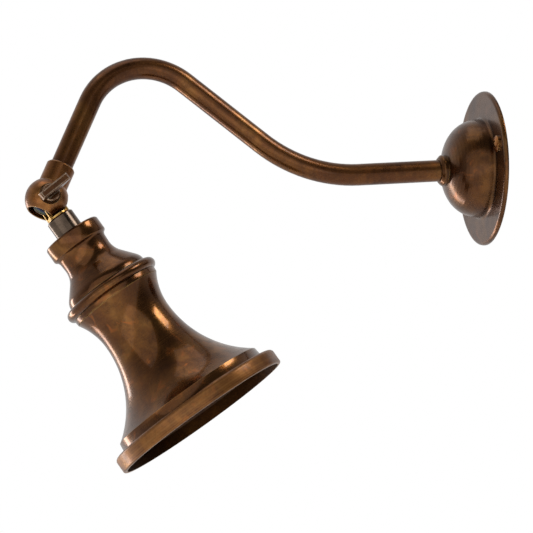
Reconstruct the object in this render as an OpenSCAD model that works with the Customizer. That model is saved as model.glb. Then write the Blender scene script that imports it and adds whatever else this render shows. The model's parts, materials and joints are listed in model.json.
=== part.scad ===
// Swan neck wall sconce with a tilting bell shade.
// Millimetres. The wall is the plane y = 0, the lamp stands out towards -Y and +Z is up.
// The origin is the centre of the rose where it meets the wall. The arm lies in the plane x = 0.

/* [Rose] */
// Outside diameter of the flange
rose_diameter = 93; // [80:1:120]
// Depth of the turned-back edge, wall to front of flange
rose_depth = 2.5; // [2:0.1:5]
// Radius of the dome at its base
dome_radius = 29.7; // [24:0.1:34]
// Height of the dome above the front of the flange
dome_height = 23.3; // [18:0.1:30]
// Thickness of the spun sheet
sheet = 0.9; // [0.6:0.1:1.5]
// Distance between the two flange screws
screw_spacing = 70; // [60:0.5:75]
// Angle of the screw line above horizontal
screw_angle = 6.5; // [0:1:90]
// Diameter of the circle the two wall screws lie on
wall_screw_circle = 38; // [30:0.5:50]
// Radius of a flange screw's head
screw_head = 5; // [4:0.1:6]

/* [Collar ring] */
// Outside radius of the ring
ring_radius = 9.3; // [7:0.1:12]
// Where the ring ends on the arm side, from the wall
ring_end = 29.4; // [28:0.1:40]

/* [Arm] */
// Outside radius of the tube
tube_radius = 6.5; // [5:0.1:8]
// Inside radius of the tube
tube_bore = 5.5; // [4:0.1:7]
// Droop of the first straight below horizontal
arm_droop = 3.1; // [0:0.1:10]
// First straight, wall plane to the first bend
first_run = 79.9; // [50:0.1:150]
// Centreline radius of the rising bend
rise_radius = 83.4; // [40:0.1:150]
// Turn of the rising bend
rise_turn = 43.3; // [10:0.5:80]
// Straight between the bends
middle_run = 58.1; // [20:0.1:120]
// Centreline radius of the crook over the lamp
crook_radius = 37.7; // [20:0.1:60]
// Turn of the crook
crook_turn = 104.2; // [60:0.1:150]
// Last straight, crook to the pivot
last_run = 67.6; // [40:0.1:120]

/* [Knuckle] */
// Radius of the ball
ball_radius = 12.75; // [10:0.05:16]
// Wall of the hollow ball
ball_wall = 1.85; // [1.2:0.05:3]
// Distance of the mouth from the ball's centre
mouth_offset = 9.6; // [7:0.1:11]
// Radius of the sleeve round the tube
sleeve_radius = 8.6; // [7.5:0.1:11]
// Top of the sleeve from the ball's centre
sleeve_top = 22.6; // [18:0.1:30]
// Half width of the slot the tongue swings in
slot_half = 4.9; // [4:0.1:6]
// Thickness of the tongue
tongue_thickness = 8; // [6:0.1:9]
// Width of the tongue across the pivot
tongue_width = 12.6; // [10:0.1:14]
// Angle of the wing above horizontal
wing_angle = 38; // [0:1:180]
// Length of the wing's outer edge
wing_length = 20.8; // [14:0.5:30]
// Distance of the wing's outer edge from the arm's plane
wing_reach = 27; // [24:0.5:36]

/* [Shade] */
// Lean of the shade's axis, from straight down towards the wall
shade_lean = 32.4; // [0:0.1:60]
// Radius of the dark sleeve between tongue and shade
coupler_radius = 8.5; // [7:0.1:11]
// Start of the sleeve from the pivot
coupler_top = 12.6; // [12:0.1:16]
// Top face of the shade from the pivot
shade_top = 24.6; // [20:0.1:30]
// Radius of the collar at the top of the shade
collar_radius = 17.8; // [14:0.05:24]
// Radius of the neck under the collar
neck_radius = 15.35; // [14.8:0.05:20]
// Radius of the shoulder above the bead
shoulder_radius = 25.85; // [20:0.1:32]
// Outside radius of the bead
bead_radius = 30.5; // [24:0.1:38]
// Distance of the bead from the pivot
bead_position = 65.4; // [60:0.1:75]
// Smallest radius of the bell
waist_radius = 21.95; // [18:0.1:28]
// Distance of the waist from the pivot
waist_position = 91.3; // [85:0.1:100]
// Curve of the bell above its waist
upper_curve = 37; // [30:0.5:50]
// Curve of the bell below its waist
flare_curve = 62; // [50:0.5:80]
// Radius of the step above the rim band
step_radius = 47.9; // [40:0.1:55]
// Outside radius of the rim band
rim_radius = 55.6; // [48:0.1:65]
// Top of the rim band from the pivot
rim_start = 147.6; // [140:0.1:150]
// Mouth of the shade from the pivot
rim_end = 157; // [150:0.1:165]
// Thickness of the shade
shade_sheet = 1.1; // [0.8:0.1:2]

/* [Wiring] */
// Radius of an insulated wire
wire_radius = 0.9; // [0.6:0.05:1.1]
// Spacing of the wires side by side
wire_pitch = 1.9; // [1.6:0.05:2.3]

/* [Quality] */
// Facets of large round surfaces
fine = 96; // [48:8:160]
// Facets of small round surfaces
coarse = 40; // [24:4:64]

/* [Hidden] */
rose_radius = rose_diameter / 2;
heading_middle = rise_turn - arm_droop;
heading_end = heading_middle - crook_turn;
rise_start = [-first_run * cos(arm_droop), -first_run * sin(arm_droop)];
rise_end = rise_start + rise_radius
    * [-sin(heading_middle) - sin(arm_droop), cos(arm_droop) - cos(heading_middle)];
crook_start = rise_end + middle_run * [-cos(heading_middle), sin(heading_middle)];
crook_end = crook_start + crook_radius
    * [sin(heading_end) - sin(heading_middle), cos(heading_end) - cos(heading_middle)];
pivot = crook_end + last_run * [-cos(heading_end), sin(heading_end)];
nipple_radius = 5;
dome_fullness = 0.87;
nipple_bore = 3.3;
tongue_half = tongue_thickness / 2;
wrap_radius = 8.2;
brass = [0.45, 0.30, 0.15];
bright = [0.72, 0.52, 0.22];
gunmetal = [0.32, 0.28, 0.26];
steel = [0.70, 0.70, 0.72];
plastic = [0.92, 0.90, 0.85];
ceramic = [0.95, 0.94, 0.90];
bakelite = [0.12, 0.10, 0.09];
live = [0.45, 0.25, 0.12];
neutral = [0.15, 0.30, 0.65];
earth = [0.35, 0.60, 0.25];

// A rod from y = 0 to y = -length along the heading, hollow where a bore is given.
// It laps over its neighbours at both ends, so that a chain of rods and elbows is one solid.
module rod(radius, length, bore = 0) {
    lap = 0.15;
    skin = 0.01;
    rotate([90, 0, 0])
        difference() {
            translate([0, 0, -lap])
                cylinder(h = length + 2 * lap, r = radius + skin, $fn = coarse);
            if (bore > 0)
                translate([0, 0, -lap - 1])
                    cylinder(h = length + 2 * lap + 2, r = bore - skin, $fn = coarse);
        }
}

// A bend that starts at the origin heading -Y and turns towards +Z
module elbow(radius, curve, turn, bore = 0) {
    translate([0, 0, curve])
        rotate([180, 90, 0])
            rotate_extrude(angle = turn, $fn = fine)
                translate([curve, 0])
                    difference() {
                        circle(r = radius, $fn = coarse);
                        if (bore > 0)
                            circle(r = bore, $fn = coarse);
                    }
}

// Moves its children to the end of a rod
module past_rod(length) {
    translate([0, -length, 0])
        children();
}

// Moves its children to the end of an elbow
module past_elbow(curve, turn) {
    translate([0, 0, curve])
        rotate([-turn, 0, 0])
            translate([0, 0, -curve])
                children();
}

// Turns its children about the heading, so that an elbow bends another way
module roll(angle) {
    rotate([0, angle, 0])
        children();
}

// Frame of the first straight
module arm_frame() {
    rotate([arm_droop, 0, 0])
        children();
}

// Frame at the start of the last straight
module last_frame() {
    arm_frame()
        past_rod(first_run)
            past_elbow(rise_radius, rise_turn)
                past_rod(middle_run)
                    roll(180)
                        past_elbow(crook_radius, crook_turn)
                            roll(180)
                                children();
}

// Frame of the ball: -Z runs out of the mouth, +Y faces the wall
module ball_frame() {
    translate([0, pivot.x, pivot.y])
        rotate([-90 - heading_end, 0, 0])
            children();
}

// Frame of the shade: -Z runs down the shade's axis from the pivot
module head_frame() {
    translate([0, pivot.x, pivot.y])
        rotate([shade_lean, 0, 0])
            children();
}

// A line along the arm from a distance in front of the wall to a distance before the pivot
module arm_line(radius, start, stop, bore = 0) {
    arm_frame() {
        past_rod(start)
            rod(radius, first_run - start, bore);
        past_rod(first_run)
            elbow(radius, rise_radius, rise_turn, bore);
        past_rod(first_run)
            past_elbow(rise_radius, rise_turn) {
                rod(radius, middle_run, bore);
                past_rod(middle_run)
                    roll(180)
                        elbow(radius, crook_radius, crook_turn, bore);
            }
    }
    last_frame()
        rod(radius, last_run - stop, bore);
}

// Places its children at both flange screws
module at_screws() {
    for (side = [0, 180])
        rotate([0, -screw_angle + side, 0])
            translate([screw_spacing / 2, 0, 0])
                children();
}

module wall_strap() {
    color(steel)
        rotate([0, -screw_angle, 0])
            rotate([90, 0, 0])
                linear_extrude(1.5)
                    difference() {
                        union() {
                            square([screw_spacing, 16], center = true);
                            for (side = [-1, 1])
                                translate([side * screw_spacing / 2, 0])
                                    circle(r = 8, $fn = coarse);
                        }
                        circle(r = 5, $fn = coarse);
                        for (side = [-1, 1]) {
                            translate([side * screw_spacing / 2, 0])
                                circle(r = 2.15, $fn = coarse);
                            translate([side * wall_screw_circle / 2, 0])
                                circle(r = 2.2, $fn = coarse);
                        }
                        translate([10, 0])
                            circle(r = 1.65, $fn = coarse);
                    }
}

// Points of an arc about a centre, both ends included
function arc(centre, radius, start, stop, steps) =
    [for (i = [0:steps]) let (a = start + (stop - start) * i / steps)
        centre + radius * [cos(a), sin(a)]];

// The dome's curve at a depth inside the sheet: a quarter of a rather full ellipse, base to apex
function dome_line(depth, start, steps) =
    [for (i = [0:steps]) let (a = start + (90 - start) * i / steps)
        [(dome_radius - depth) * pow(cos(a), dome_fullness),
            rose_depth + (dome_height - depth) * pow(sin(a), dome_fullness)]];

function reversed(points) = [for (i = [len(points) - 1:-1:0]) points[i]];

// One face of the rose at a depth inside the sheet, from the flange's edge to the apex
function rose_line(depth) = let (edge = 1.8, fillet = 1.6) concat(
    [[rose_radius - depth, 0]],
    arc([rose_radius - edge, rose_depth - edge], edge - depth, 0, 90, 4),
    arc([dome_radius + fillet, rose_depth + fillet], fillet + depth, 270, 180, 4),
    dome_line(depth, 6, 14)
);

module wall_rose() {
    color(brass)
        difference() {
            rotate([90, 0, 0])
                rotate_extrude($fn = fine)
                    polygon(concat(rose_line(0), reversed(rose_line(sheet))));
            arm_frame()
                past_rod(20)
                    rod(nipple_radius + 0.15, 15);
            at_screws() {
                rod(2.75, 10);
                past_rod(rose_depth + 0.15)
                    rod(screw_head + 0.15, 6);
            }
        }
}

module rose_screws() {
    color(bright)
        at_screws()
            rotate([90, 0, 0])
                difference() {
                    union() {
                        translate([0, 0, 0.2])
                            cylinder(h = rose_depth, r = 2.1, $fn = coarse);
                        intersection() {
                            translate([0, 0, rose_depth + 0.05])
                                cylinder(h = 3, r = screw_head, $fn = coarse);
                            translate([0, 0, rose_depth - 6.1])
                                sphere(r = 8.7, $fn = fine);
                        }
                    }
                    for (turn = [20, 110])
                        rotate([0, 0, turn])
                            translate([-2.6, -0.5, rose_depth + 1.2])
                                cube([5.2, 1, 4]);
                }
}

module collar_ring() {
    bore = tube_radius + 0.05;
    color(brass)
        difference() {
            arm_frame()
                rotate([90, 0, 0])
                    rotate_extrude($fn = fine)
                        polygon([[bore, 20], [ring_radius, 20], [ring_radius, ring_end - 1.9],
                            [ring_radius - 0.3, ring_end - 1.4], [ring_radius - 1.6, ring_end - 0.2],
                            [ring_radius - 2, ring_end], [bore, ring_end]]);
            rotate([90, 0, 0])
                rotate_extrude($fn = fine)
                    polygon(concat([[0, 0], [dome_radius, 0]], dome_line(-0.02, 0, 15)));
        }
}

module end_nipple() {
    color(bright)
        arm_frame() {
            past_rod(17.5)
                rod(nipple_radius, 9.4, nipple_bore);
            past_rod(27)
                rod(tube_bore - 0.05, 14, nipple_bore);
        }
}

module lock_washer() {
    color(steel)
        arm_frame()
            past_rod(23)
                rod(8.2, 0.8, nipple_radius + 0.15);
}

module lock_nut() {
    color(bright)
        arm_frame()
            past_rod(19.25)
                rotate([90, 0, 0])
                    difference() {
                        cylinder(h = 3.5, r = 8.1, $fn = 6);
                        translate([0, 0, -1])
                            cylinder(h = 6, r = nipple_radius + 0.05, $fn = coarse);
                    }
}

module arm_tube() {
    color(brass)
        arm_line(tube_radius, 26.8, 11.7, tube_bore);
}

// Frame of the terminal block: origin at the middle of its front face, wires arriving along +Y
module block_frame() {
    translate([0, -12.5, 14])
        children();
}

module terminal_block() {
    color(plastic)
        block_frame()
            difference() {
                translate([-7.5, 0, -4.5])
                    cube([15, 10, 9]);
                for (side = [-1, 1])
                    translate([side * 3.6, 0, 0]) {
                        translate([0, 5, 0])
                            rotate([90, 0, 0])
                                cylinder(h = 12, r = 2.05, center = true, $fn = coarse);
                        for (depth = [2.6, 7.4])
                            translate([0, depth, 0])
                                cylinder(h = 6, r = 1.75, $fn = coarse);
                    }
            }
}

module terminal_sleeves() {
    color(bright)
        block_frame()
            for (side = [-1, 1])
                translate([side * 3.6, 0.5, 0])
                    difference() {
                        rotate([-90, 0, 0])
                            cylinder(h = 9, r = 2, $fn = coarse);
                        translate([0, -1, 0])
                            rotate([-90, 0, 0])
                                cylinder(h = 11, r = 1.35, $fn = coarse);
                        for (depth = [2.1, 6.9])
                            translate([0, depth, 0])
                                cylinder(h = 4, r = 1.05, $fn = coarse);
                    }
}

module terminal_screws() {
    color(steel)
        block_frame()
            for (side = [-1, 1], depth = [2.6, 7.4])
                translate([side * 3.6, depth, 0])
                    difference() {
                        union() {
                            translate([0, 0, 1])
                                cylinder(h = 2.4, r = 1, $fn = coarse);
                            translate([0, 0, 2.4])
                                cylinder(h = 1.6, r = 1.6, $fn = coarse);
                        }
                        translate([-2, -0.25, 3.3])
                            cube([4, 0.5, 1]);
                    }
}

// Frame of the earth screw, on the strap beside the cable hole
module earth_frame() {
    rotate([0, -screw_angle, 0])
        translate([10, -1.5, 0])
            children();
}

module earth_tag() {
    color(steel)
        earth_frame()
            rotate([90, 0, 0])
                linear_extrude(0.6)
                    difference() {
                        union() {
                            circle(r = 3, $fn = coarse);
                            translate([-1.2, 0])
                                square([2.4, 6]);
                        }
                        circle(r = 1.65, $fn = coarse);
                    }
}

module earth_screw() {
    color(bright)
        earth_frame()
            rotate([90, 0, 0])
                difference() {
                    union() {
                        translate([0, 0, -1.3])
                            cylinder(h = 3, r = 1.6, $fn = coarse);
                        translate([0, 0, 0.6])
                            cylinder(h = 1.8, r = 3, $fn = coarse);
                    }
                    translate([-4, -0.4, 1.6])
                        cube([8, 0.8, 2]);
                }
}

// A wire on the arm side: a lead in the dome, the run in the tube and the turn into the ball
module arm_wire(offset) {
    entry = 35;
    lead = wrap_radius + 8 * (1 - cos(entry));
    start = lead / sin(entry);
    reach = (start - 8 * sin(entry)) * cos(entry) - 8 * (1 - cos(entry)) * sin(entry);
    translate([offset, 0, 0]) {
        arm_line(wire_radius, 16, start);
        last_frame()
            past_rod(last_run - start) {
                elbow(wire_radius, 8, entry);
                past_elbow(8, entry) {
                    rod(wire_radius, reach);
                    past_rod(reach)
                        roll(180)
                            elbow(wire_radius, wrap_radius, 40);
                }
            }
    }
}

// A lead in the dome from the nipple's end, up and back into the terminal block
module dome_lead(offset, side) {
    curve = 2.5;
    climb = 9.5;
    fan = atan2(3.6 - wire_pitch, climb + 2 * curve);
    arm_frame()
        past_rod(16)
            translate([offset, 0, 0])
                rotate([0, 0, 180])
                    roll(side * fan) {
                        elbow(wire_radius, curve, 90);
                        past_elbow(curve, 90) {
                            rod(wire_radius, climb);
                            past_rod(climb)
                                roll(180) {
                                    elbow(wire_radius, curve, 90);
                                    past_elbow(curve, 90)
                                        rod(wire_radius, 3);
                                }
                        }
                    }
}

// The earth lead in the dome, from the nipple's end to the tag on the strap
module earth_lead() {
    arm_frame()
        past_rod(16)
            rotate([0, 0, 180])
                roll(-60) {
                    rod(wire_radius, 3.6);
                    past_rod(3.6) {
                        elbow(wire_radius, 3, 75);
                        past_elbow(3, 75) {
                            rod(wire_radius, 6.7);
                            past_rod(6.7)
                                roll(180) {
                                    elbow(wire_radius, 3, 75);
                                    past_elbow(3, 75)
                                        rod(wire_radius, 2.5);
                                }
                        }
                    }
                }
}

module live_wire() {
    color(live) {
        arm_wire(-wire_pitch);
        dome_lead(-wire_pitch, 1);
    }
}

module neutral_wire() {
    color(neutral) {
        arm_wire(wire_pitch);
        dome_lead(wire_pitch, -1);
    }
}

module earth_wire() {
    color(earth) {
        arm_wire(0);
        earth_lead();
    }
}

module knuckle_socket() {
    boss = 6.9;
    color(brass)
        ball_frame()
            difference() {
                union() {
                    sphere(r = ball_radius, $fn = fine);
                    cylinder(h = sleeve_top - 0.9, r = sleeve_radius, $fn = fine);
                    translate([0, 0, sleeve_top - 0.9])
                        cylinder(h = 0.9, r1 = sleeve_radius, r2 = sleeve_radius - 0.7, $fn = fine);
                }
                translate([0, 0, 11.5])
                    cylinder(h = 20, r = tube_radius + 0.02, $fn = coarse);
                translate([0, 0, 7])
                    cylinder(h = 5, r = tube_bore, $fn = coarse);
                difference() {
                    sphere(r = ball_radius - ball_wall, $fn = fine);
                    for (side = [-1, 1])
                        translate([side * (slot_half + 10), 0, 0])
                            rotate([0, 90, 0])
                                cylinder(h = 20, r = boss, center = true, $fn = coarse);
                }
                translate([-20, -20, -mouth_offset - 20])
                    cube([40, 40, 20]);
                translate([0, 0, -12])
                    cylinder(h = 4.8, r = 7.7, $fn = coarse);
                translate([-slot_half, 0, -20])
                    cube([2 * slot_half, 20, 20 + 6.8]);
                rotate([0, 90, 0])
                    cylinder(h = 40, r = 2.55, center = true, $fn = coarse);
                translate([10, 0, 0])
                    rotate([0, 90, 0])
                        cylinder(h = 10, r = 6.3, $fn = coarse);
            }
}

module friction_washers() {
    color(bright)
        ball_frame()
            for (side = [-1, 1])
                translate([side * 4.6, 0, 0])
                    rotate([0, 90, 0])
                        difference() {
                            cylinder(h = 0.56, r = 6.2, center = true, $fn = coarse);
                            cylinder(h = 2, r = 2.75, center = true, $fn = coarse);
                        }
}

// Frame of the locking screw: +Z along the pivot away from the arm's plane, +X along the wing
module wing_frame() {
    translate([0, pivot.x, pivot.y])
        rotate([wing_angle, 0, 0])
            rotate([90, 0, 90])
                children();
}

module wing_screw() {
    half = wing_length / 2;
    color(brass)
        wing_frame() {
            translate([0, 0, -12])
                cylinder(h = 22.5, r = 2.5, $fn = coarse);
            translate([0, 0, 10.2])
                cylinder(h = 3.8, r = 5.3, $fn = coarse);
            translate([0, 0, 14])
                cylinder(h = 0.6, r1 = 5.3, r2 = 4.7, $fn = coarse);
            intersection() {
                rotate([90, 0, 0])
                    linear_extrude(10, center = true)
                        polygon([[-4.4, 14], [4.4, 14], [half, wing_reach - 3.5],
                            [half, wing_reach - 1], [half - 0.9, wing_reach],
                            [-half + 0.9, wing_reach], [-half, wing_reach - 1],
                            [-half, wing_reach - 3.5]]);
                rotate([90, 0, 90])
                    linear_extrude(40, center = true)
                        polygon([[-2.1, 13], [2.1, 13], [2.1, wing_reach - 0.7],
                            [1.5, wing_reach], [-1.5, wing_reach], [-2.1, wing_reach - 0.7]]);
            }
        }
}

module knuckle_tongue() {
    half = tongue_width / 2;
    color(bright)
        head_frame()
            difference() {
                union() {
                    rotate([0, 90, 0])
                        cylinder(h = tongue_thickness, r = half, center = true, $fn = coarse);
                    translate([-tongue_half, -half, -coupler_top])
                        cube([tongue_thickness, tongue_width, coupler_top]);
                    difference() {
                        translate([0, 0, -coupler_top])
                            cylinder(h = 3, r = half + 0.05, $fn = coarse);
                        sphere(r = ball_radius + 0.3, $fn = fine);
                    }
                    translate([0, 0, -20.3])
                        cylinder(h = 20.3 - coupler_top, r = nipple_radius, $fn = coarse);
                }
                rotate([0, 90, 0])
                    cylinder(h = 20, r = 2.55, center = true, $fn = coarse);
                translate([0, 0, -30])
                    cylinder(h = 30 - 6.7, r = 3, $fn = coarse);
                difference() {
                    translate([-3, -10, -10.4])
                        cube([6, 10, 8.4]);
                    rotate([0, 90, 0])
                        cylinder(h = 20, r = 7.1, center = true, $fn = coarse);
                }
            }
}

module coupler_sleeve() {
    color(gunmetal)
        head_frame()
            rotate([180, 0, 0])
                rotate_extrude($fn = fine)
                    polygon([[nipple_radius + 0.02, coupler_top],
                        [coupler_radius - 0.9, coupler_top], [coupler_radius, coupler_top + 0.9],
                        [coupler_radius, shade_top], [nipple_radius + 0.02, shade_top]]);
}

module shade_nipple() {
    color(bright)
        head_frame()
            translate([0, 0, -38])
                difference() {
                    cylinder(h = 38 - 20.5, r = nipple_radius, $fn = coarse);
                    translate([0, 0, -1])
                        cylinder(h = 20, r = nipple_bore, $fn = coarse);
                }
}

module shade_washer() {
    color(steel)
        head_frame()
            translate([0, 0, -shade_top - shade_sheet - 1.02])
                difference() {
                    cylinder(h = 1, r = 9, $fn = coarse);
                    translate([0, 0, -1])
                        cylinder(h = 3, r = nipple_radius + 0.15, $fn = coarse);
                }
}

module shade_nut() {
    color(bright)
        head_frame()
            translate([0, 0, -shade_top - shade_sheet - 4.54])
                difference() {
                    cylinder(h = 3.5, r = 8.1, $fn = 6);
                    translate([0, 0, -1])
                        cylinder(h = 6, r = nipple_radius + 0.05, $fn = coarse);
                }
}

// Outline of the shade's top at a depth inside the sheet, from the axis to the shoulder
function cup_line(depth) = let (
    corner = 1.5,
    hollow = 13,
    swell = 8,
    slope = 38,
    hollow_centre = [neck_radius + hollow, 41.3],
    shoulder = [shoulder_radius - swell, 61.7]
) concat(
    [[nipple_radius + 0.1, shade_top + depth]],
    arc([collar_radius - corner, shade_top + corner], corner - depth, -90, 0, 4),
    [[collar_radius - depth, 33.4 - depth / 2], [collar_radius - 0.5 - depth, 34.1 - depth / 2],
        [neck_radius + 1 - depth, 34.7 - depth / 2], [neck_radius + 0.3 - depth, 36.2 - depth / 2]],
    arc(hollow_centre, hollow + depth, 180, 180 - slope, 5),
    arc(shoulder, swell - depth, -slope, 0, 4)
);

module shade_cup() {
    bead = 3.2;
    skirt = 28;
    color(brass)
        head_frame()
            rotate([180, 0, 0])
                rotate_extrude($fn = fine)
                    polygon(concat(
                        cup_line(0),
                        arc([bead_radius - bead, bead_position], bead, -100, 80, 9),
                        [[skirt, bead_position + 3.6], [skirt - 0.3, bead_position + 6.2],
                            [skirt - 1.4, bead_position + 6.2], [skirt - 1.4, bead_position],
                            [shoulder_radius - shade_sheet, bead_position - 1.6]],
                        reversed(cup_line(shade_sheet))));
}

// Outline of the bell at a depth inside the sheet, from under the skirt to the step
function bell_line(depth) = let (
    top = asin((waist_position - 71.8) / upper_curve),
    low = asin((141.8 - waist_position) / flare_curve)
) concat(
    arc([waist_radius + upper_curve, waist_position], upper_curve + depth, 180 + top, 180, 5),
    arc([waist_radius + flare_curve, waist_position], flare_curve + depth, 180, 180 - low, 10)
);

module shade_bell() {
    color(brass)
        head_frame()
            rotate([180, 0, 0])
                rotate_extrude($fn = fine)
                    polygon(concat(
                        [[25.4, 66.2], [26.55, 66.2], [26.55, 71.7]],
                        bell_line(0),
                        [[step_radius + 0.7, 146.6], [step_radius + 1.4, rim_start],
                            [rim_radius - 2.4, rim_start]],
                        arc([rim_radius - 2.2, rim_start + 2.2], 2.2, -75, 0, 4),
                        arc([rim_radius - 1, rim_end - 1], 1, 0, 90, 3),
                        [[rim_radius - 2.2, rim_end], [rim_radius - 2.2, rim_start + 2.6],
                            [rim_radius - 3.4, rim_start + shade_sheet],
                            [step_radius, rim_start + shade_sheet],
                            [step_radius - shade_sheet + 0.5, 146.4]],
                        reversed(bell_line(shade_sheet)),
                        [[25.4, 71]]));
}

// Draws a half section (radius, distance from the pivot) turned about the shade's axis
module turned(points, facets) {
    head_frame()
        rotate([180, 0, 0])
            rotate_extrude($fn = facets)
                polygon(points);
}

module holder_cap() {
    color(bakelite)
        turned([[nipple_radius + 0.02, 30.3], [8, 30.3], [8.6, 31.2], [8.6, 33], [11.6, 35.5],
            [12.8, 38], [12.8, 45], [11.6, 45], [11.6, 39.4], [nipple_radius + 0.02, 39.4]], 48);
}

module holder_body() {
    color(bakelite)
        turned([[10.6, 40.6], [11.5, 40.6], [11.5, 45.1], [12.8, 45.1], [12.8, 62], [12.2, 63.4],
            [8.4, 63.4], [8.4, 61.8], [10.6, 61.8]], 48);
}

module holder_core() {
    color(ceramic)
        head_frame()
            difference() {
                translate([0, 0, -60])
                    cylinder(h = 17.5, r = 9.6, $fn = coarse);
                translate([0, 0, -61])
                    cylinder(h = 13, r = 7.9, $fn = coarse);
                for (side = [-1, 1])
                    translate([side * 7.2, 0, -50])
                        cylinder(h = 10, r = 1.3, $fn = 16);
                cylinder(h = 200, r = 1.5, center = true, $fn = 16);
            }
}

module screw_shell() {
    color(bright)
        turned([[7, 48.6], [7.4, 48.6], [7.4, 62.4], [8.1, 63], [7.7, 63.3], [7, 62.6]], 40);
}

module centre_contact() {
    color(bright)
        head_frame() {
            translate([-1.6, -5, -48.5])
                cube([3.2, 10, 0.5]);
            translate([0, 0, -48.65])
                cylinder(h = 0.25, r = 1.4, $fn = 24);
        }
}

module holder_terminals() {
    color(bright)
        head_frame()
            for (side = [-1, 1])
                translate([side * 7.2, 0, -46.5]) {
                    cylinder(h = 4.4, r = 1.25, $fn = 16);
                    translate([0, 0, 4.1])
                        cylinder(h = 1.3, r = 2, $fn = 24);
                }
}

// A wire on the head side: up the nipple and tongue, then round the hub towards the ball
module head_wire(offset, stop) {
    near = asin(4 / (wrap_radius + 4));
    rise = (wrap_radius + 4) * cos(near);
    sweep = shade_lean + 90 + heading_end + 20 - near;
    head_frame()
        translate([offset, 0, -stop])
            rotate([-90, 0, 0]) {
                rod(wire_radius, stop - rise);
                past_rod(stop - rise)
                    roll(180) {
                        elbow(wire_radius, 4, 90 - near);
                        past_elbow(4, 90 - near)
                            roll(180) {
                                rod(wire_radius, 0);
                                elbow(wire_radius, wrap_radius, sweep);
                            }
                    }
            }
}

module head_live_wire() {
    color(live)
        head_wire(-wire_pitch, 42.3);
}

module head_neutral_wire() {
    color(neutral)
        head_wire(wire_pitch, 42.3);
}

module head_earth_wire() {
    color(earth)
        head_wire(0, 42.3);
}

wall_strap();
wall_rose();
rose_screws();
collar_ring();
end_nipple();
lock_washer();
lock_nut();
arm_tube();
terminal_block();
terminal_sleeves();
terminal_screws();
earth_tag();
earth_screw();
live_wire();
neutral_wire();
earth_wire();
knuckle_socket();
friction_washers();
wing_screw();
knuckle_tongue();
coupler_sleeve();
shade_nipple();
shade_washer();
shade_nut();
shade_cup();
shade_bell();
holder_cap();
holder_body();
holder_core();
screw_shell();
centre_contact();
holder_terminals();
head_live_wire();
head_neutral_wire();
head_earth_wire();
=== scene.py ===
"""Swan neck wall lamp in antique brass: looks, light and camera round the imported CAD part."""
import json
import math

import bmesh
import bpy
from mathutils import Matrix, Vector


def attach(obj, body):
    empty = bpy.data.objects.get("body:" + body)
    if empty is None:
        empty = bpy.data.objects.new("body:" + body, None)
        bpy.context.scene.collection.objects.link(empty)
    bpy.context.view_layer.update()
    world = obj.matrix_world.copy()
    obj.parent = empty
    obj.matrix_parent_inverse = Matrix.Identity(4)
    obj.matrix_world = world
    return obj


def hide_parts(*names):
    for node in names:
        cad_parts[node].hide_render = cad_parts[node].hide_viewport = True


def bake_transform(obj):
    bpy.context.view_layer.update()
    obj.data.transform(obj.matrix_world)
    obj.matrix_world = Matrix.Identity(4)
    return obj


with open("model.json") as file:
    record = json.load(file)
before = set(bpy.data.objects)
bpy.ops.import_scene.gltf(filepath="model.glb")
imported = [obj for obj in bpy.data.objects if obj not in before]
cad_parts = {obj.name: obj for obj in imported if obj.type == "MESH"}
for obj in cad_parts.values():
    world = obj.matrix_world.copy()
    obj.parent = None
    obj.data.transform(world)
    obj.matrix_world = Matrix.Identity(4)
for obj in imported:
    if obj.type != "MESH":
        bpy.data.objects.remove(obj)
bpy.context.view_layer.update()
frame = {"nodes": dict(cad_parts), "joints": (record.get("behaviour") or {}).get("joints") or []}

# ---------------------------------------------------------------- places

MM = 0.001
ARM_HEADING = math.radians(64)
JOINT = {j["name"]: j for j in frame["joints"]}["knuckle_tilt"]
PIVOT = Vector(JOINT["pos_m"])
LEAN = math.radians(32.4)
SHADE_AXIS = Vector((0, math.sin(LEAN), -math.cos(LEAN)))
SHADE_SHEET = 1.1
HUB_TURN = 8.2 * MM
WIRE_RADIUS = 0.93 * MM
WIRE_PITCH = 1.9 * MM
TURN_START, TURN_STOP, TURN_STEPS = 86, 19, 28
LAMP_MIDDLE = (0, -0.17, -0.06)
FLOOR_RADIUS = 14
FLOOR_LEVEL = -1.7
WASH_LEVEL = -0.9
WASH_WIDTH = 28

# ---------------------------------------------------------------- camera

LENS = 243.04
SENSOR = 36
DISTANCE = 2.11997
VIEW_CENTRE = Vector((0, -0.14101, -0.06144))
AZIMUTH, ELEVATION, TILT = (math.radians(a) for a in (74.65, -16.17, -4.53))

camera_data = bpy.data.cameras.new("camera")
camera = bpy.data.objects.new("camera", camera_data)
bpy.context.scene.collection.objects.link(camera)
bpy.context.scene.camera = camera
camera_data.lens = LENS
camera_data.sensor_width = SENSOR
camera_data.clip_start = 0.05
camera_data.clip_end = 60
back = Vector((math.sin(AZIMUTH) * math.cos(ELEVATION),
               -math.cos(AZIMUTH) * math.cos(ELEVATION), math.sin(ELEVATION)))
level = (-back).cross(Vector((0, 0, 1))).normalized()
above = level.cross(-back)
right = math.cos(TILT) * level + math.sin(TILT) * above
up = -math.sin(TILT) * level + math.cos(TILT) * above
camera.matrix_world = (Matrix.Translation(VIEW_CENTRE + DISTANCE * back)
                       @ Matrix((right, up, back)).transposed().to_4x4())

# ---------------------------------------------------------------- node helpers


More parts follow.
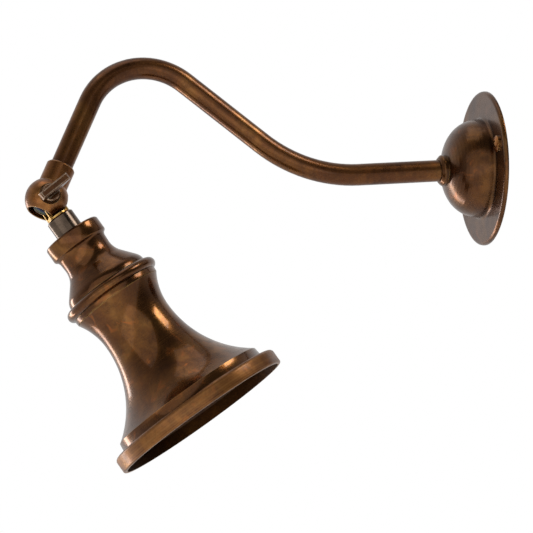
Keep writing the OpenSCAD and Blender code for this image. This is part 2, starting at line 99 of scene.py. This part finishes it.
class Graph:
    """A material's node tree, with short ways to add what the finishes share."""

    def __init__(self, name):
        self.material = bpy.data.materials.new(name)
        self.material.use_nodes = True
        self.tree = self.material.node_tree
        self.shader = self.tree.nodes["Principled BSDF"]
        self.coord = self.add("ShaderNodeTexCoord").outputs["Object"]

    def add(self, kind, values=None, **settings):
        node = self.tree.nodes.new(kind)
        for key, value in settings.items():
            setattr(node, key, value)
        for key, value in (values or {}).items():
            if isinstance(value, bpy.types.NodeSocket):
                self.tree.links.new(value, node.inputs[key])
            else:
                node.inputs[key].default_value = value
        return node

    def noise(self, scale, detail=4.0, roughness=0.6, distortion=0.0, vector=None):
        node = self.add("ShaderNodeTexNoise", {
            "Vector": vector or self.coord, "Scale": scale, "Detail": detail,
            "Roughness": roughness, "Distortion": distortion})
        return node.outputs["Fac"]

    def ramp(self, value, *stops):
        node = self.add("ShaderNodeValToRGB", {"Fac": value})
        elements = node.color_ramp.elements
        while len(elements) < len(stops):
            elements.new(0.5)
        for element, (place, colour) in zip(elements, stops):
            element.position = place
            if not isinstance(colour, tuple):
                colour = (colour,) * 3
            element.color = (*colour, 1)
        return node.outputs["Color"]

    def mix(self, share, first, second, blend="MIX"):
        node = self.add("ShaderNodeMix", data_type="RGBA", blend_type=blend)
        for socket, value in ((node.inputs[0], share), (node.inputs[6], first),
                              (node.inputs[7], second)):
            if isinstance(value, bpy.types.NodeSocket):
                self.tree.links.new(value, socket)
            elif isinstance(value, tuple):
                socket.default_value = (*value, 1)
            else:
                socket.default_value = value
        return node.outputs[2]

    def math(self, operation, *values):
        node = self.add("ShaderNodeMath", operation=operation)
        for socket, value in zip(node.inputs, values):
            if isinstance(value, bpy.types.NodeSocket):
                self.tree.links.new(value, socket)
            else:
                socket.default_value = value
        return node.outputs[0]

    def range(self, value, low, high, start=0.3, stop=0.7):
        node = self.add("ShaderNodeMapRange", {
            "Value": value, "From Min": start, "From Max": stop, "To Min": low, "To Max": high})
        return node.outputs["Result"]

    def edges(self, radius, stop=0.12):
        """1 on edges that hands and cloths rub, which some finishes also paint paler as a highlight; 0
        on flat and hollow places.
        """
        bevel = self.add("ShaderNodeBevel", {"Radius": radius}, samples=6)
        plain = self.add("ShaderNodeNewGeometry").outputs["Normal"]
        dot = self.add("ShaderNodeVectorMath", {0: bevel.outputs["Normal"], 1: plain},
                       operation="DOT_PRODUCT").outputs["Value"]
        return self.range(self.math("SUBTRACT", 1.0, dot), 0.0, 1.0, 0.004, stop)

    def occlusion_shade(self, distance):
        """Ambient occlusion as a mask: 1 in tight corners where shade falls, 0 on open surfaces;
        colour mixed in by it is painted shade.
        """
        node = self.add("ShaderNodeAmbientOcclusion", {"Distance": distance}, samples=6)
        return self.range(node.outputs["AO"], 1.0, 0.0, 0.35, 0.95)

    def along(self, point, direction):
        """Distance in metres from a point along a direction."""
        offset = self.add("ShaderNodeVectorMath", {0: self.coord, 1: tuple(point)},
                          operation="SUBTRACT").outputs["Vector"]
        return self.add("ShaderNodeVectorMath", {0: offset, 1: tuple(direction)},
                        operation="DOT_PRODUCT").outputs["Value"]

    def turned_lines(self, point, direction, scale, grain=9.0):
        """Fine lines that run round an axis, broken up a little, as left by spinning and polishing."""
        distance = self.along(point, direction)
        bent = self.math("ADD", distance, self.math("MULTIPLY", self.noise(grain, 2.0), 0.0006))
        vector = self.add("ShaderNodeCombineXYZ", {"X": bent}).outputs["Vector"]
        return self.noise(scale, 5.0, 0.7, vector=vector)

    def bump(self, height, strength, distance, normal=None):
        values = {"Strength": strength, "Distance": distance, "Height": height}
        if normal:
            values["Normal"] = normal
        return self.add("ShaderNodeBump", values).outputs["Normal"]

    def finish(self, colour, roughness, normal=None, **constants):
        for key, value in (("Base Color", colour), ("Roughness", roughness), ("Normal", normal)):
            if isinstance(value, bpy.types.NodeSocket):
                self.tree.links.new(value, self.shader.inputs[key])
            elif value is not None:
                self.shader.inputs[key].default_value = value
        for key, value in constants.items():
            self.shader.inputs[key.replace("_", " ")].default_value = value
        return self.material


def aged_brass(name, lift=1.0, rough=(0.24, 0.42), axis=None, line_scale=2200, line_depth=0.00003,
               rub=0.75, patch_scale=34, spots=0.6, speckle=0.25,
               line_show=0.22, edge_width=0.0007, grain=9.0, smooth=0.0, coat=0.05,
               rubbed_and_glint_tone=(0.640, 0.370, 0.120)):
    """Brass with a brown patina under thin lacquer: mottled, spotted, paler where it is rubbed, darker
    in tight corners as painted shade with some tarnish.

    lift scales every tone. rub, spots, speckle and line_show are how much of each shows, from 0 to 1.
    rubbed_and_glint_tone is the colour of rubbed edges, a painted highlight where it is near white.
    smooth is the radius in metres over which a faceted mesh is shaded round.
    """
    g = Graph(name)

    def tone(r, gr, b):
        return tuple(c * lift for c in (r, gr, b))

    large = g.noise(patch_scale, 5.0, 0.62, 0.7)
    middle = g.noise(150, 6.0, 0.68, 0.3)
    fine = g.noise(760, 4.0, 0.6)
    colour = g.ramp(large, (0.30, tone(0.075, 0.024, 0.010)), (0.45, tone(0.172, 0.060, 0.018)),
                    (0.58, tone(0.255, 0.098, 0.024)), (0.74, tone(0.370, 0.165, 0.042)))
    colour = g.mix(g.range(middle, 0.0, 0.75, 0.42, 0.66), colour, tone(0.108, 0.040, 0.013))
    colour = g.mix(g.range(g.noise(95, 3.0, 0.5, 1.2), 0.0, spots, 0.60, 0.72), colour,
                   tone(0.380, 0.115, 0.025))
    colour = g.mix(g.range(fine, 0.0, speckle, 0.50, 0.72), colour, tone(0.310, 0.145, 0.042))
    # Darker in tight corners, by ambient occlusion: painted shade, with some tarnish of the hollows.
    colour = g.mix(g.math("MULTIPLY", g.occlusion_shade(0.005), 0.8), colour, tone(0.030, 0.015, 0.008))
    # Paler on edges: rubbed brass, and on the wing also a painted highlight.
    rubbed_edge_and_glint = g.math("MULTIPLY", g.edges(edge_width), g.range(middle, 0.25, 1.0, 0.35, 0.6))
    colour = g.mix(g.math("MULTIPLY", rubbed_edge_and_glint, rub), colour, tone(*rubbed_and_glint_tone))
    height = g.math("ADD", g.math("MULTIPLY", middle, 0.5), g.math("MULTIPLY", fine, 0.25))
    rounded = None
    if smooth:
        rounded = g.add("ShaderNodeBevel", {"Radius": smooth}, samples=8).outputs["Normal"]
    normal = g.bump(height, 0.35, 0.00012, rounded)
    roughness = g.range(middle, rough[0], rough[1], 0.35, 0.68)
    if axis:
        lines = g.turned_lines(*axis, line_scale, grain)
        normal = g.bump(lines, 0.5, line_depth, normal)
        roughness = g.math("ADD", roughness, g.range(lines, -0.05, 0.06, 0.35, 0.65))
        colour = g.mix(g.range(lines, 0.0, line_show, 0.42, 0.66), colour, tone(0.310, 0.145, 0.042))
    return g.finish(colour, roughness, normal, Metallic=1.0, Coat_Weight=0.25, Coat_Roughness=coat)


def bright_brass(name, axis=None):
    """Bare turned brass, slightly tarnished."""
    g = Graph(name)
    middle = g.noise(240, 5.0, 0.6, 0.4)
    colour = g.ramp(middle, (0.30, (0.36, 0.20, 0.06)), (0.5, (0.70, 0.38, 0.09)),
                    (0.72, (0.86, 0.55, 0.17)))
    # Darker in tight corners, by ambient occlusion: painted shade, with some tarnish.
    colour = g.mix(g.math("MULTIPLY", g.occlusion_shade(0.003), 0.7), colour, (0.12, 0.06, 0.02))
    colour = g.mix(g.math("MULTIPLY", g.edges(0.0003), 0.6), colour, (0.95, 0.74, 0.40))
    lines = g.turned_lines(*(axis or ((0, 0, 0), (0, 1, 0))), 5200)
    normal = g.bump(lines, 0.4, 0.00002, g.bump(g.noise(1500, 3.0), 0.15, 0.00003))
    return g.finish(colour, g.range(middle, 0.2, 0.36), normal, Metallic=1.0)


def plated(name, dark, pale, rough, axis, painted_sheen):
    """Plated or plain steel with turning marks and fingerprints; turning lines and edges are lifted to
    a brighter tone as a painted sheen, the edges also rubbed bright.
    """
    g = Graph(name)
    middle = g.noise(170, 5.0, 0.65, 0.5)
    lines = g.turned_lines(*axis, 4200)
    colour = g.ramp(middle, (0.32, dark), (0.68, pale))
    # Turning lines lifted to a brighter tone: painted sheen.
    colour = g.mix(g.range(lines, 0.0, 0.45, 0.4, 0.7), colour, painted_sheen)
    colour = g.mix(g.math("MULTIPLY", g.edges(0.0004), 0.7), colour, painted_sheen)
    # Darker in tight corners, by ambient occlusion: painted shade.
    colour = g.mix(g.math("MULTIPLY", g.occlusion_shade(0.003), 0.6), colour, tuple(c * 0.2 for c in dark))
    normal = g.bump(lines, 0.2, 0.00001)
    return g.finish(colour, g.range(middle, *rough), normal, Metallic=1.0)


def moulded(name, base, other, rough, grain, depth):
    """Moulded plastic, phenolic or glazed porcelain: cloudy colour, rubbed edges, fine texture."""
    flecked = tuple(min(1, c * 1.5 + 0.02) for c in other)
    rubbed = tuple(min(1, c * 1.4 + 0.04) for c in other)
    # The base darkened, to be painted as shade into tight corners.
    corner_shade_tone = tuple(c * 0.35 for c in base)
    g = Graph(name)
    cloud = g.noise(130, 4.0, 0.55, 0.6)
    fleck = g.noise(grain, 3.0, 0.6)
    colour = g.ramp(cloud, (0.32, base), (0.7, other))
    colour = g.mix(g.range(fleck, 0.0, 0.3, 0.55, 0.75), colour, flecked)
    # Darker in tight corners, by ambient occlusion: painted shade.
    colour = g.mix(g.math("MULTIPLY", g.occlusion_shade(0.002), 0.6), colour, corner_shade_tone)
    colour = g.mix(g.math("MULTIPLY", g.edges(0.0003), 0.35), colour, rubbed)
    return g.finish(colour, g.range(cloud, *rough), g.bump(fleck, 0.35, depth))


shade_line = (PIVOT, SHADE_AXIS)
wall_line = ((0, 0, 0), (0, 1, 0))
arm_line = (PIVOT, (0, math.cos(ARM_HEADING), math.sin(ARM_HEADING)))
FINISHES = {
    "tube": aged_brass("aged_brass_tube", 0.72, (0.24, 0.42), patch_scale=26, spots=0.35,
                       smooth=0.0008, coat=0.12),
    "rose": aged_brass("aged_brass_rose", 0.56, (0.20, 0.34), wall_line, 1500, 0.00002,
                       rub=0.5, speckle=0.12, smooth=0.0014, coat=0.16),
    "ring": aged_brass("aged_brass_ring", 0.56, (0.22, 0.36), wall_line, 2600, 0.00002, rub=0.9),
    "screw": aged_brass("aged_brass_screw", 1.5, (0.20, 0.34), rub=1.0),
    "socket": aged_brass("aged_brass_socket", 1.2, (0.24, 0.40), arm_line, 2600, 0.00002,
                         smooth=0.0006, coat=0.12),
    # The wing's edges go to a near-white pale tone: rubbed brass, and a painted highlight along the
    # edges.
    "wing": aged_brass("aged_brass_wing", 0.75, (0.26, 0.40), rub=1.0, edge_width=0.0010,
                       rubbed_and_glint_tone=(1.0, 0.82, 0.60)),
    "shade": aged_brass("aged_brass_shade", 0.70, (0.15, 0.30), shade_line, 1300, 0.00003,
                        spots=0.95),
    "rim": aged_brass("brushed_brass_rim", 0.95, (0.34, 0.52), shade_line, 1000, 0.00006, rub=1.0,
                      line_show=0.85, patch_scale=60, grain=70.0, coat=0.2),
    "bright": bright_brass("bright_brass", wall_line),
    "bright_shade": bright_brass("bright_brass_shade", shade_line),
    "gunmetal": plated("gunmetal", (0.050, 0.034, 0.026), (0.125, 0.086, 0.062), (0.15, 0.27),
                       shade_line, (0.32, 0.24, 0.17)),
    "zinc": plated("zinc_steel", (0.42, 0.43, 0.44), (0.62, 0.62, 0.62), (0.28, 0.45),
                   wall_line, (0.80, 0.80, 0.80)),
    "bakelite": moulded("bakelite", (0.018, 0.013, 0.010), (0.045, 0.032, 0.024),
                        (0.22, 0.38), 900, 0.00003),
    "porcelain": moulded("porcelain", (0.78, 0.76, 0.70), (0.88, 0.87, 0.82),
                         (0.12, 0.24), 700, 0.00002),
    "terminal": moulded("terminal_plastic", (0.72, 0.70, 0.64), (0.84, 0.82, 0.77),
                        (0.42, 0.58), 1400, 0.00005),
    # Wire insulation darkened to about a third of its own colour: painted shade of the wires inside
    # the knuckle's ball.
    "live": moulded("live_insulation", (0.040, 0.018, 0.009), (0.065, 0.030, 0.014),
                    (0.36, 0.5), 1600, 0.00004),
    "neutral": moulded("neutral_insulation", (0.005, 0.013, 0.050), (0.009, 0.022, 0.080),
                       (0.36, 0.5), 1600, 0.00004),
    "earth": moulded("earth_insulation", (0.020, 0.050, 0.010), (0.060, 0.075, 0.012),
                     (0.36, 0.5), 1600, 0.00004),
    # The shade's inner faces: brass at a third of the tone, painted dark as the shade inside the bell
    # and cup.
    "inside": aged_brass("painted_shade_inside", 0.30, (0.42, 0.60), shade_line, 1500, 0.00004, rub=0.2),
}
NODE_FINISH = {
    "wall_strap": "zinc", "wall_rose": "rose", "rose_screws": "screw", "collar_ring": "ring",
    "end_nipple": "bright", "lock_washer": "zinc", "lock_nut": "bright", "arm_tube": "tube",
    "terminal_block": "terminal", "terminal_sleeves": "bright", "terminal_screws": "zinc",
    "earth_tag": "zinc", "earth_screw": "bright", "live_wire": "live", "neutral_wire": "neutral",
    "earth_wire": "earth", "knuckle_socket": "socket", "friction_washers": "bright",
    "wing_screw": "wing", "knuckle_tongue": "bright_shade", "coupler_sleeve": "gunmetal",
    "shade_nipple": "bright_shade", "shade_washer": "zinc", "shade_nut": "bright_shade",
    "shade_cup": "shade", "shade_bell": "shade", "holder_cap": "bakelite",
    "holder_body": "bakelite", "holder_core": "porcelain", "screw_shell": "bright_shade",
    "centre_contact": "bright_shade", "holder_terminals": "bright_shade",
    "head_live_wire": "live", "head_neutral_wire": "neutral", "head_earth_wire": "earth",
}
for name, node in frame["nodes"].items():
    node.data.materials.clear()
    node.data.materials.append(FINISHES[NODE_FINISH[name]])

# ---------------------------------------------------------------- turned shade, in finer mesh


def arc(centre, radius, start, stop, steps):
    """Points of an arc, as (radius from the axis, distance from the pivot) in millimetres."""
    return [(centre[0] + radius * math.cos(math.radians(start + (stop - start) * i / steps)),
             centre[1] + radius * math.sin(math.radians(start + (stop - start) * i / steps)))
            for i in range(steps + 1)]


def turned(name, outline, finishes, facets=192):
    """A closed outline turned about the shade's axis, from stretches of (points, finish number)."""
    points, finish_of = [], []
    for stretch, finish in outline:
        points += stretch
        finish_of += [finish] * len(stretch)
    across = Vector((1, 0, 0))
    upright = SHADE_AXIS.cross(across)
    mesh = bmesh.new()
    rings = []
    for i in range(facets):
        a = 2 * math.pi * i / facets
        out = math.cos(a) * across + math.sin(a) * upright
        rings.append([mesh.verts.new(PIVOT + MM * (r * out + s * SHADE_AXIS)) for r, s in points])
    count = len(points)
    for i in range(facets):
        ring, following = rings[i], rings[(i + 1) % facets]
        for k in range(count):
            n = (k + 1) % count
            face = mesh.faces.new((ring[k], ring[n], following[n], following[k]))
            face.material_index = finish_of[k]
            face.smooth = True
    bmesh.ops.recalc_face_normals(mesh, faces=mesh.faces)
    data = bpy.data.meshes.new(name)
    mesh.to_mesh(data)
    mesh.free()
    for finish in finishes:
        data.materials.append(FINISHES[finish])
    piece = bpy.data.objects.new(name, data)
    bpy.context.scene.collection.objects.link(piece)
    data.set_sharp_from_angle(angle=math.radians(38))
    return piece


def cup_line(depth, steps=4):
    """One face of the shade's top at a depth inside the sheet, from the axis to the shoulder."""
    collar, neck, shoulder, hollow, swell, slope = 17.8, 15.35, 25.85, 13, 8, 38
    return ([(5.1, 24.6 + depth)]
            + arc((collar - 1.5, 26.1), 1.5 - depth, -90, 0, steps)
            + [(collar - depth, 33.4 - depth / 2), (collar - 0.5 - depth, 34.1 - depth / 2),
               (neck + 1 - depth, 34.7 - depth / 2), (neck + 0.3 - depth, 36.2 - depth / 2)]
            + arc((neck + hollow, 41.3), hollow + depth, 180, 180 - slope, 3 * steps)
            + arc((shoulder - swell, 61.7), swell - depth, -slope, 0, 2 * steps))


cup = turned("spun_shade_cup", [
    (cup_line(0), 0),
    (arc((27.3, 65.4), 3.2, -100, 80, 20), 0),
    ([(28, 69), (27.7, 71.6)], 0),
    ([(26.6, 71.6), (26.6, 65.4), (24.75, 63.8)], 1),
    (cup_line(SHADE_SHEET)[::-1], 1)], ["shade", "inside"])
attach(cup, "head")
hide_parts("shade_cup")


def bell_line(depth):
    """One face of the bell at a depth inside the sheet, from under the cup's skirt to the step."""
    waist, place, upper, flare = 21.95, 91.3, 37, 62
    top = math.degrees(math.asin((place - 71.8) / upper))
    low = math.degrees(math.asin((141.8 - place) / flare))
    return (arc((waist + upper, place), upper + depth, 180 + top, 180, 14)
            + arc((waist + flare, place), flare + depth, 180, 180 - low, 30)[1:])


bell = turned("spun_shade_bell", [
    ([(25.4, 66.2), (26.55, 66.2), (26.55, 71.7)], 0),
    (bell_line(0), 0),
    ([(48.6, 146.6), (49.3, 147.6)], 0),
    ([(53.2, 147.6)], 1),
    (arc((53.4, 149.8), 2.2, -75, 0, 8), 1),
    (arc((54.6, 156), 1, 0, 90, 5), 1),
    ([(53.4, 157)], 2),
    ([(53.4, 150.2), (52.2, 148.7), (47.9, 148.7), (47.3, 146.4)], 2),
    (bell_line(SHADE_SHEET)[::-1], 2),
    ([(25.4, 71)], 2)], ["shade", "rim", "inside"])
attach(bell, "head")
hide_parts("shade_bell")

# ---------------------------------------------------------------- wires round the knuckle's hub


def swept(name, path, radius, finish, sides=14):
    """A round wire along a smooth path, closed at both ends."""
    mesh = bmesh.new()
    across = Vector((1, 0, 0))
    rings = []
    for i, point in enumerate(path):
        ahead = (path[min(i + 1, len(path) - 1)] - path[max(i - 1, 0)]).normalized()
        other = ahead.cross(across).normalized()
        rings.append([mesh.verts.new(point + radius * (math.cos(2 * math.pi * k / sides) * across
                                                       + math.sin(2 * math.pi * k / sides) * other))
                      for k in range(sides)])
    for a, b in zip(rings, rings[1:]):
        for k in range(sides):
            mesh.faces.new((a[k], a[(k + 1) % sides], b[(k + 1) % sides], b[k])).smooth = True
    mesh.faces.new(rings[0][::-1])
    mesh.faces.new(rings[-1])
    bmesh.ops.recalc_face_normals(mesh, faces=mesh.faces)
    data = bpy.data.meshes.new(name)
    mesh.to_mesh(data)
    mesh.free()
    data.materials.append(FINISHES[finish])
    piece = bpy.data.objects.new(name, data)
    bpy.context.scene.collection.objects.link(piece)
    return piece


onward = Vector((0, -math.cos(ARM_HEADING), -math.sin(ARM_HEADING)))
outward = Vector((0, -math.sin(ARM_HEADING), math.cos(ARM_HEADING)))


def on_hub(offset, angle):
    """A point on a wire's turn, at an angle from the arm's heading and an offset along the pivot."""
    a = math.radians(angle)
    return PIVOT + Vector((offset, 0, 0)) + HUB_TURN * (math.cos(a) * onward + math.sin(a) * outward)


for colour, offset in (("live", -WIRE_PITCH), ("neutral", WIRE_PITCH), ("earth", 0)):
    path = [on_hub(offset, TURN_START - (TURN_START - TURN_STOP) * i / TURN_STEPS)
            for i in range(TURN_STEPS + 1)]
    turn = swept(colour + "_wire_turn", path, WIRE_RADIUS, colour)
    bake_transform(turn)

# ---------------------------------------------------------------- floor, light and background

floor_mesh = bmesh.new()
bmesh.ops.create_circle(floor_mesh, cap_ends=True, segments=96, radius=FLOOR_RADIUS)
floor_data = bpy.data.meshes.new("floor")
floor_mesh.to_mesh(floor_data)
floor_mesh.free()
floor = bpy.data.objects.new("floor", floor_data)
floor.location = (0, 0, FLOOR_LEVEL)
bpy.context.scene.collection.objects.link(floor)
pale = Graph("pale_floor")
cloud = pale.noise(3, 3.0)
floor_data.materials.append(pale.finish(pale.ramp(cloud, (0.3, 0.90), (0.7, 0.915)),
                                        pale.range(cloud, 0.7, 0.85)))


def softbox(name, place, width, height, power, target=LAMP_MIDDLE):
    """A square-cornered soft light that faces its target."""
    light = bpy.data.lights.new(name, "AREA")
    light.shape = "RECTANGLE"
    light.size, light.size_y = width, height
    light.energy = power
    lamp = bpy.data.objects.new(name, light)
    bpy.context.scene.collection.objects.link(lamp)
    lamp.location = place
    lamp.rotation_euler = (Vector(target) - Vector(place)).to_track_quat("-Z", "Y").to_euler()
    lamp.visible_camera = False


softbox("wall_side", (0.95, 0.95, 1.2), 0.65, 0.65, 9)
softbox("card", (1.69, -1.15, -0.1), 3.6, 2.3, 15)
softbox("edge", (-1.6, -1.25, -0.45), 0.35, 1.7, 12)
softbox("top", (0.3, -0.5, 1.7), 1.2, 1.2, 3.5)
softbox("floor_wash", (0, 0, WASH_LEVEL), WASH_WIDTH, WASH_WIDTH, 800, (0, 0.001, FLOOR_LEVEL))

# The background is white where it is seen, and lights the lamp more from -X than from +X
world = bpy.data.worlds.new("studio")
bpy.context.scene.world = world
world.use_nodes = True
tree = world.node_tree
background = tree.nodes["Background"]
direction = tree.nodes.new("ShaderNodeTexCoord")
parts = tree.nodes.new("ShaderNodeSeparateXYZ")
shade_of = tree.nodes.new("ShaderNodeMapRange")
shade_of.inputs["From Min"].default_value = 0.55
shade_of.inputs["From Max"].default_value = -0.5
shade_of.inputs["To Min"].default_value = 0.09
shade_of.inputs["To Max"].default_value = 0.65
seen = tree.nodes.new("ShaderNodeLightPath")
choose = tree.nodes.new("ShaderNodeMix")
choose.data_type = "FLOAT"
choose.inputs["B"].default_value = 1.0
tree.links.new(direction.outputs["Generated"], parts.inputs[0])
tree.links.new(parts.outputs["X"], shade_of.inputs["Value"])
tree.links.new(seen.outputs["Is Camera Ray"], choose.inputs["Factor"])
tree.links.new(shade_of.outputs["Result"], choose.inputs["A"])
tree.links.new(choose.outputs["Result"], background.inputs["Strength"])
background.inputs["Color"].default_value = (1, 1, 1, 1)
bpy.context.scene.view_settings.view_transform = "Standard"
